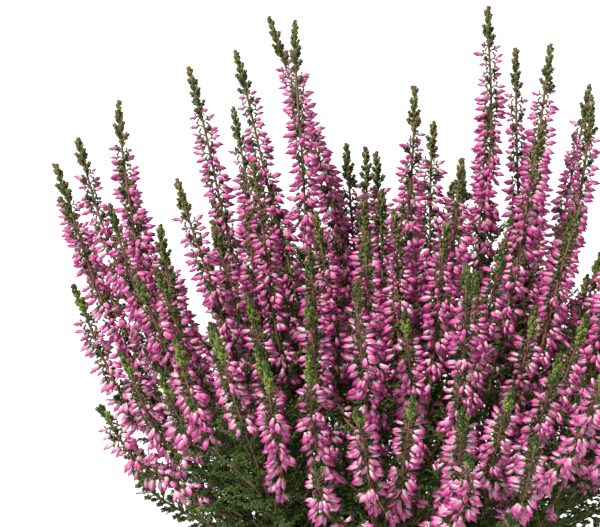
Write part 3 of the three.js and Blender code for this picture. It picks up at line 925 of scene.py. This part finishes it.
    def add_leafy_end(self, fresh):
        """Side shoots around the stem that shorten and close up to the top, a knob on its end, and scale
        leaves between them."""
        rng, foot, top = self.rng, self.tip_foot, self.path.length
        s = np.arange(foot, top - END_SPRIGS, self.look.tip_gap * mix(1.0, FRESH_GAP, fresh))
        share = (s - foot) / (top - foot)
        turns = rng.uniform(-END_TURN_CHANCE, END_TURN_CHANCE) + GOLDEN_ANGLE * np.arange(len(s))
        angles = turns + rng.normal(0, END_TURN_SPREAD, len(s))
        lean = np.radians(mix(*END_LEANS, share)) * mix(1.0, FRESH_LEAN, fresh)
        lean += rng.normal(0, END_LEAN_SPREAD, len(s))
        lengths = self.look.sprig_length * mix(*END_SIZES, share) * rng.uniform(*END_SIZE_CHANCE, len(s))
        browned = rng.uniform(*END_FRESH, len(s)) * (1 - smooth(2 * fresh))
        ends = np.where(s > top - END_BROWNED, fresh - KNOB_BROWNED, fresh + browned)
        self.add_sprigs(s, angles, lean, lengths, ends)
        knob = np.array([top - END_KNOB])
        self.add_sprigs(knob, np.zeros(1), KNOB_LEAN, KNOB_LENGTH, fresh - KNOB_BROWNED)
        s = np.arange(foot - 2 * MM, top - END_SCALES, END_SCALE_GAP)
        angles = GOLDEN_ANGLE * np.arange(len(s))
        greener = max(fresh, END_SCALE_FRESH)
        self.add_sprigs(s, angles, END_SCALE_LEAN, END_SCALE_LENGTH, greener, SCALE_LEAF)

    def add_twigs(self, s, lengths, fresh):
        """Feathery twigs of each kind by turns, around the stem by the golden angle."""
        if not len(s):
            return
        angles = self.golden_turns(s)
        lean = np.radians(self.rng.uniform(*TWIG_LEAN, len(s)))
        for variant, twig in enumerate(TWIGS):
            pick = slice(variant, None, len(TWIGS))
            if len(s[pick]):
                self.add_sprigs(s[pick], angles[pick], lean[pick], lengths[pick], fresh, twig)

    def add_sprigs(self, s, angles, lean, lengths, fresh, shape=SPRIG, dark_and_shade=0.0):
        """Side shoots, or another leafy shape, that lean out from the stem's direction. Those that would
        cut the pot's rim are left out."""
        out, along = self.path.outward(s, angles), self.path.heading(s)
        lean, lengths = (np.broadcast_to(each, s.shape)[:, None] for each in (lean, lengths))
        forward = along * np.cos(lean) + out * np.sin(lean)
        roots = self.path.place(s)
        keep = clear_of_rim(roots, roots + lengths * forward)
        if not keep.any():
            return
        axes = square_axes(forward, np.cross(forward, out))
        sprigs = set_out(shape, roots[keep], axes[keep], (lengths * np.ones(3))[keep])
        # A raised tone darkens these leaves; among the buds that is partly painted shade.
        tones = dark_and_shade + self.rng.uniform(0, 1, len(s))
        self.growth.add(sprigs, LEAVES, tones[keep], np.broadcast_to(fresh, s.shape)[keep])

    def golden_turns(self, s):
        """An angle around the stem for each length, by the golden angle from a chance start."""
        return self.rng.uniform(0, TURN) + GOLDEN_ANGLE * np.arange(len(s))


# ------------------------------------------------------------------ what a user would change
# Each of these makes one property: a plain number, a length, a point or direction, and a colour.
def number(name, text, default, **more):
    return bpy.props.FloatProperty(name=name, description=text, default=default, **more)


def metres(name, text, default):
    return number(name, text, default, unit="LENGTH", min=0.0, precision=5)


def point(name, text, default):
    return bpy.props.FloatVectorProperty(name=name, description=text, default=default,
                                         subtype="TRANSLATION")


def tint(name, text, default):
    return bpy.props.FloatVectorProperty(name=name, description=text, default=default, size=3,
                                         subtype="COLOR", min=0.0, max=1.0)


class HeatherLook(bpy.types.PropertyGroup):
    """Sizes of what grows on the stems."""

    bud_length: metres("Bud length", "Length of a full-grown bud", 0.0044)
    bud_width: metres("Bud width", "Width of a full-grown bud", 0.0018)
    bud_gap: metres("Bud gap", "Distance along a stem between two stalks of buds", 0.0019)
    sprig_length: metres("Sprig length", "Length of a leafy side shoot", 0.0044)
    sprig_gap: metres("Sprig gap", "Distance between the leafy side shoots among the buds", 0.0035)
    tip_length: metres("Tip length", "Length of the leafy end of a tall stem", 0.016)
    tip_gap: metres("Tip gap", "Distance between the side shoots of a leafy end", 0.001)
    twig_gap: metres("Twig gap", "Distance between the twigs below the flowers", 0.0024)
    stem_width: metres("Stem width", "Width of a stem in the middle of its flowers", 0.0011)
    droop_top: number("Droop at the top", "How far the top buds hang, in degrees", -12.0)
    droop_low: number("Droop lower down", "How far the lowest buds hang, in degrees", 42.0)


class HeatherColours(bpy.types.PropertyGroup):
    """Colours of the petals, leaves and bark."""

    petal_root: tint("Petal root", "The pale round end of a bud", (0.96, 0.80, 0.78))
    petal_light: tint("Petal light", "The pink next to the pale end", (0.88, 0.39, 0.60))
    petal_body: tint("Petal body", "The pink of the middle of a bud", (0.69, 0.105, 0.37))
    petal_dry: tint("Dry petal", "Orange-brown of the few buds that dry", (0.46, 0.17, 0.10))
    petal_point: tint("Petal point", "The dark point of a bud", (0.36, 0.016, 0.165))
    leaf_root: tint("Leaf root", "Olive, at the root of an old leaf", (0.205, 0.255, 0.058))
    leaf_dark: tint("Leaf dark", "Dark green, at the end of an old leaf", (0.028, 0.064, 0.015))
    leaf_brown: tint("Browned leaf", "Olive-brown of the leaves that end a stem", (0.24, 0.148, 0.068))
    leaf_fresh_root: tint("Fresh leaf root", "Pale yellow-green of new leaves", (0.42, 0.40, 0.13))
    leaf_fresh: tint("Fresh leaf", "Green of new leaves", (0.195, 0.265, 0.055))
    bark_foot: tint("Bark foot", "Dark brown of old bark", (0.10, 0.062, 0.038))
    bark_middle: tint("Bark middle", "Tan of the bark below the flowers", (0.35, 0.195, 0.088))
    bark_top: tint("Bark top", "Mauve-brown of the bark among the flowers", (0.20, 0.10, 0.075))


class HeatherPot(bpy.types.PropertyGroup):
    """The pot and what fills it."""

    lip: metres("Lip", "Radius of the round edge of the rim", 0.0012)
    colour: tint("Pot", "Brown plastic of the pot", (0.30, 0.10, 0.055))
    scuffed: tint("Scuffs", "Plastic where it is rubbed", (0.42, 0.20, 0.13))
    lumps: metres("Lumps", "Height of the lumps in the peat", 0.0016)
    crumbs: bpy.props.IntProperty(
        name="Crumbs", description="Loose crumbs on the peat", default=700, min=0)
    peat: tint("Peat", "Moist peat", (0.022, 0.013, 0.008))
    dry_peat: tint("Dry peat", "Dry fibres on the peat", (0.11, 0.062, 0.033))


class HeatherStage(bpy.types.PropertyGroup):
    """The floor, the lights and the camera."""

    floor: tint("Floor", "Pale studio floor", (0.95, 0.95, 0.95))
    sky_strength: number("Sky strength", "Strength of the even light from all sides", 0.25)
    key_from: point("Key from", "Where the key light comes from", (-0.9, -1.1, 1.7))
    key_strength: number("Key strength", "Strength of the key light", 4.8)
    key_width: number("Key width", "How wide the key light looks", math.radians(18), subtype="ANGLE")
    elevation: number("Elevation", "How steeply the camera looks down", math.radians(12), subtype="ANGLE")
    distance: metres("Distance", "From the camera to the middle of its picture", 1.2)
    lens: number("Lens", "Focal length, in millimetres", 198.0)
    target: point("Target", "The middle of the picture", (-0.0364, 0.0, 0.208))


# ------------------------------------------------------------------ operators
# The pot's radius at its foot, its wall and its floor, how far its rim band stands out and reaches down,
# the rounding of its edges, its drain holes, and the level of the peat.
POT_FOOT, POT_WALL, POT_FLOOR, POT_COLUMNS = 46 * MM, 1.6 * MM, 2.2 * MM, 144
BAND_PROUD, BAND_DEPTH = 2.2 * MM, 9 * MM
FOOT_EDGE, FLOOR_EDGE, FLAT_EDGE = 2 * MM, 1.5 * MM, 6 * MM
DRAINS, DRAIN_CIRCLE, DRAIN_RADIUS = 8, 33 * MM, 4.5 * MM
PEAT_TOP, PEAT_SHOULDER, PEAT_RINGS, PEAT_COLUMNS = 88 * MM, 3 * MM, 36, 128
CRUMB_LENGTHS, CRUMB_WIDTHS, CRUMB_REACH, CRUMB_SINK = (0.9, 3.4), (0.25, 0.5), 0.97, 0.2 * MM


def finish_for(name, make, *args):
    """The finish of that name, made the first time that it is asked for."""
    return bpy.data.materials.get(name) or make(*args)


def plant_finishes(colours):
    return [
        finish_for("pink_petals", petal_finish, colours),
        finish_for("green_leaves", leaf_finish, colours),
        finish_for("stem_bark", bark_finish, colours),
    ]


def crown():
    """The leading stems in the order of the frame's sprays, and the leafy shoots."""
    stems = flowering_stems()
    leaders = gather_sprays(stems)
    return leaders, leafy_shoots(stems, leaders)


def dress(scene, node, name, stems):
    """One piece that stands for a node of the frame, grown on its stems."""
    growth = Growth()
    for stem in stems:
        StemDresser(growth, stem, scene.heather_look).dress()
    settle(growth.piece(name, plant_finishes(scene.heather_colours)), node)


def settle(piece, node):
    """The piece stands for the node, whose part is hidden, and moves with the whole."""
    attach(piece, "root")
    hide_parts(node)


class HEATHER_OT_pot(bpy.types.Operator):
    """Turn the pot, with a round lip, a stepped rim band and drain holes"""

    bl_idname = "heather.pot"
    bl_label = "Pot"

    def execute(self, context):
        look = context.scene.heather_pot
        _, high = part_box("pot")
        skin = lathe(*self.profile(high.x, high.z, look.lip).T, POT_COLUMNS)
        pot = new_object("plastic_pot", new_mesh("plastic_pot", *skin))
        pierce(pot, *self.drains())
        pot.data.materials.append(plastic_finish(tuple(look.colour), tuple(look.scuffed)))
        settle(pot, "pot")
        return {"FINISHED"}

    @staticmethod
    def profile(rim, top, lip):
        """Radius and height of the skin, from the middle of the underside up over the rim and down the
        inside to the middle of the floor. The outer radius grows evenly with the height."""
        band = top - BAND_DEPTH

        def outer(z):
            return mix(POT_FOOT, rim - BAND_PROUD, z / top)

        def arc(r, z, radius, first, last):
            angles = np.radians(np.linspace(first, last, 5))
            return np.stack([r + radius * np.cos(angles), z + radius * np.sin(angles)], axis=-1)

        below_band, proud = outer(band), outer(band) + BAND_PROUD
        return np.concatenate([
            [[0, 0], [POT_FOOT - FLAT_EDGE, 0]],
            arc(outer(FOOT_EDGE) - FOOT_EDGE, FOOT_EDGE, FOOT_EDGE, -90, 0),
            [[outer(z), z] for z in np.linspace(8 * MM, band - 2 * MM, 12)],
            [[below_band, band], [below_band + BAND_PROUD * 0.85, band + 0.6 * MM],
             [proud, band + 1.4 * MM], [mix(proud, rim, 0.6), mix(band, top, 0.6)]],
            arc(rim - lip, top - lip, lip, 0, 90),
            arc(outer(top) - POT_WALL + lip, top - lip, lip, 90, 180),
            [[outer(z) - POT_WALL, z] for z in np.linspace(top - 4 * MM, POT_FLOOR + 3 * MM, 10)],
            arc(outer(POT_FLOOR) - POT_WALL - FLOOR_EDGE, POT_FLOOR + FLOOR_EDGE, FLOOR_EDGE, 0, -90),
            [[POT_FOOT / 3, POT_FLOOR], [0, POT_FLOOR]],
        ])

    @staticmethod
    def drains():
        """Round plugs in a circle, each a lathe moved out to its place."""
        radii = np.array([0, DRAIN_RADIUS, DRAIN_RADIUS, 0])
        plug, triangles = lathe(radii, np.array([-2, -2, 4, 4]) * POT_FLOOR, 32)
        angles = TURN * (np.arange(DRAINS) + 0.5) / DRAINS
        moves = DRAIN_CIRCLE * np.stack([np.cos(angles), np.sin(angles), 0 * angles], axis=-1)
        places = (moves[:, None] + plug).reshape(-1, 3)
        rows = (len(plug) * np.arange(DRAINS))[:, None, None]
        return places, (triangles + rows).reshape(-1, 3)


def pierce(piece, places, triangles):
    """Cuts a closed skin out of a piece with a Boolean modifier, which is applied."""
    cutter = new_object("cutter", new_mesh("cutter", places, triangles))
    cut = piece.modifiers.new("holes", "BOOLEAN")
    cut.operation, cut.solver, cut.object = "DIFFERENCE", "EXACT", cutter
    seen = bpy.context.evaluated_depsgraph_get()
    before = piece.data
    piece.data = bpy.data.meshes.new_from_object(piece.evaluated_get(seen))
    piece.modifiers.clear()
    piece.data.name = piece.name
    piece.data.set_sharp_from_angle(angle=math.radians(40))
    bpy.data.objects.remove(cutter)
    bpy.data.meshes.remove(before)


class HEATHER_OT_peat(bpy.types.Operator):
    """Fill the pot with lumpy peat and strew crumbs on it"""

    bl_idname = "heather.peat"
    bl_label = "Peat"

    def execute(self, context):
        look = context.scene.heather_pot
        low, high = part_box("peat")
        edge, rng = high.x, np.random.default_rng(SEED)
        share = np.linspace(1, 0, PEAT_RINGS)[:-1]
        radii = np.concatenate([[0, POT_FOOT - POT_WALL, edge], edge * share ** 0.9, [0]])
        heights = np.concatenate([
            [low.z, low.z, PEAT_TOP - PEAT_SHOULDER], np.full(PEAT_RINGS - 1, PEAT_TOP), [PEAT_TOP],
        ])
        places, triangles = lathe(radii, heights, PEAT_COLUMNS)
        top = places[:, 2] > PEAT_TOP - MM
        places[top, 2] += self.lumps(places[top, 0], places[top, 1], look.lumps)
        fill = Shape(places, triangles, *np.zeros((2, len(places))))
        body = joined([fill, self.crumbs(look, edge, rng)])
        peat = new_object("lumpy_peat", new_mesh("lumpy_peat", body.places, body.triangles))
        peat.data.materials.append(peat_finish(tuple(look.peat), tuple(look.dry_peat)))
        settle(peat, "peat")
        return {"FINISHED"}

    @staticmethod
    def lumps(x, y, height):
        """The slow swell of the frame's peat, and three finer sets of crossed waves."""
        swell = 1.3 * MM * np.sin(310 * x + 1) * np.cos(270 * y)
        waves = [(520, 0.4, 0.5), (1130, 1.9, 0.3), (2300, 4.1, 0.2)]
        fine = sum(part * np.sin(rate * (x + 0.3 * y) + turn) * np.sin(rate * (y - 0.4 * x) + 2 * turn)
                   for rate, turn, part in waves)
        return swell + height * fine

    def crumbs(self, look, edge, rng):
        """Small rough lumps, half sunk, strewn evenly over the disc. Their lengths are in millimetres,
        and their widths are shares of them."""
        count = look.crumbs
        radius = edge * CRUMB_REACH * np.sqrt(rng.uniform(0, 1, count))
        angle = rng.uniform(0, TURN, count)
        x, y = radius * np.cos(angle), radius * np.sin(angle)
        z = PEAT_TOP + self.lumps(x, y, look.lumps) - CRUMB_SINK
        length = rng.uniform(*CRUMB_LENGTHS, count) * MM
        width = length * rng.uniform(*CRUMB_WIDTHS, count)
        heading = np.stack([np.cos(3 * angle), np.sin(5 * angle), rng.uniform(-0.3, 0.3, count)], -1)
        axes = rolled(square_axes(heading, UP), rng.uniform(0, TURN, count))
        lump = spindle([(0.2, 0.8), (0.65, 1.0)], sides=5, ridge=0.15)
        return set_out(lump, np.stack([x, y, z], -1), axes, np.stack([length, width, width], -1))


class HEATHER_OT_flower_sprays(bpy.types.Operator):
    """Grow every flower spray: bark, twigs, buds on their stalks and leafy tips"""

    bl_idname = "heather.flower_sprays"
    bl_label = "Flower sprays"

    def execute(self, context):
        leaders, _ = crown()
        for i, leader in enumerate(leaders, 1):
            node, name = f"flower_spray_{i:02d}", f"budded_spray_{i:02d}"
            dress(context.scene, node, name, [leader, *leader.sides])
        return {"FINISHED"}


class HEATHER_OT_leafy_shoots(bpy.types.Operator):
    """Grow the leafy shoots around the rim"""

    bl_idname = "heather.leafy_shoots"
    bl_label = "Leafy shoots"

    def execute(self, context):
        _, shoots = crown()
        for i, shoot in enumerate(shoots, 1):
            node, name = f"leafy_shoot_{i}", f"feathery_shoot_{i}"
            dress(context.scene, node, name, [shoot])
        return {"FINISHED"}


class HEATHER_OT_stage(bpy.types.Operator):
    """Lay the pale floor, hang the soft lights and set up the camera"""

    bl_idname = "heather.stage"
    bl_label = "Stage"

    def execute(self, context):
        look = context.scene.heather_stage
        half, drop = 6.0, -0.2 * MM
        corners = [[-half, -half, drop], [half, -half, drop], [half, half, drop], [-half, half, drop]]
        mesh = new_mesh("floor", np.array(corners), np.array([[0, 1, 2], [0, 2, 3]]))
        floor = new_object("floor", mesh)
        floor.data.materials.append(floor_finish(tuple(look.floor)))
        self.sky(context.scene, look.sky_strength)
        self.sun("key_light", look)
        self.camera(context.scene, look)
        context.scene.view_settings.view_transform = "Standard"
        return {"FINISHED"}

    @staticmethod
    def sky(scene, strength):
        scene.world = bpy.data.worlds.new("studio_sky")
        scene.world.use_nodes = True
        background = scene.world.node_tree.nodes["Background"]
        background.inputs["Color"].default_value = (1.0, 1.0, 1.0, 1.0)
        background.inputs["Strength"].default_value = strength

    @staticmethod
    def sun(name, look):
        """A broad soft light that shines from where the key comes from towards the origin."""
        data = bpy.data.lights.new(name, "SUN")
        data.energy, data.angle = look.key_strength, look.key_width
        made = new_object(name, data)
        x, y, z = look.key_from
        made.location = look.key_from
        made.rotation_euler = (math.atan2(math.hypot(x, y), z), 0.0, math.atan2(y, x) + math.pi / 2)

    @staticmethod
    def camera(scene, look):
        """A level camera south of the target, which looks down on it from the elevation."""
        data = bpy.data.cameras.new("camera")
        data.lens, data.clip_end = look.lens, 50.0
        made = new_object("camera", data)
        x, y, z = look.target
        away = look.distance * math.cos(look.elevation)
        made.location = (x, y - away, z + look.distance * math.sin(look.elevation))
        made.rotation_euler = (math.pi / 2 - look.elevation, 0.0, 0.0)
        scene.camera = made


class HEATHER_PT_sidebar(bpy.types.Panel):
    """Lists the pieces and what can be changed on them"""

    bl_idname = "HEATHER_PT_sidebar"
    bl_label = "Potted Heather"
    bl_space_type = "VIEW_3D"
    bl_region_type = "UI"
    bl_category = "Heather"

    def draw(self, context):
        for operator in OPERATORS:
            self.layout.operator(operator.bl_idname)
        for key in SETTINGS:
            box = self.layout.box()
            group = getattr(context.scene, key)
            for name in group.__annotations__:
                box.prop(group, name)


SETTINGS = {
    "heather_look": HeatherLook,
    "heather_colours": HeatherColours,
    "heather_pot": HeatherPot,
    "heather_stage": HeatherStage,
}
OPERATORS = [
    HEATHER_OT_stage, HEATHER_OT_pot, HEATHER_OT_peat, HEATHER_OT_flower_sprays, HEATHER_OT_leafy_shoots,
]


def register():
    for cls in [*SETTINGS.values(), *OPERATORS, HEATHER_PT_sidebar]:
        bpy.utils.register_class(cls)
    for key, cls in SETTINGS.items():
        setattr(bpy.types.Scene, key, bpy.props.PointerProperty(type=cls))


def unregister():
    for key in SETTINGS:
        delattr(bpy.types.Scene, key)
    for cls in [HEATHER_PT_sidebar, *reversed(OPERATORS), *reversed(SETTINGS.values())]:
        bpy.utils.unregister_class(cls)


def main():
    """Makes every piece in order."""
    register()
    for operator in OPERATORS:
        group, name = operator.bl_idname.split(".")
        getattr(getattr(bpy.ops, group), name)()


if __name__ == "__main__":
    main()
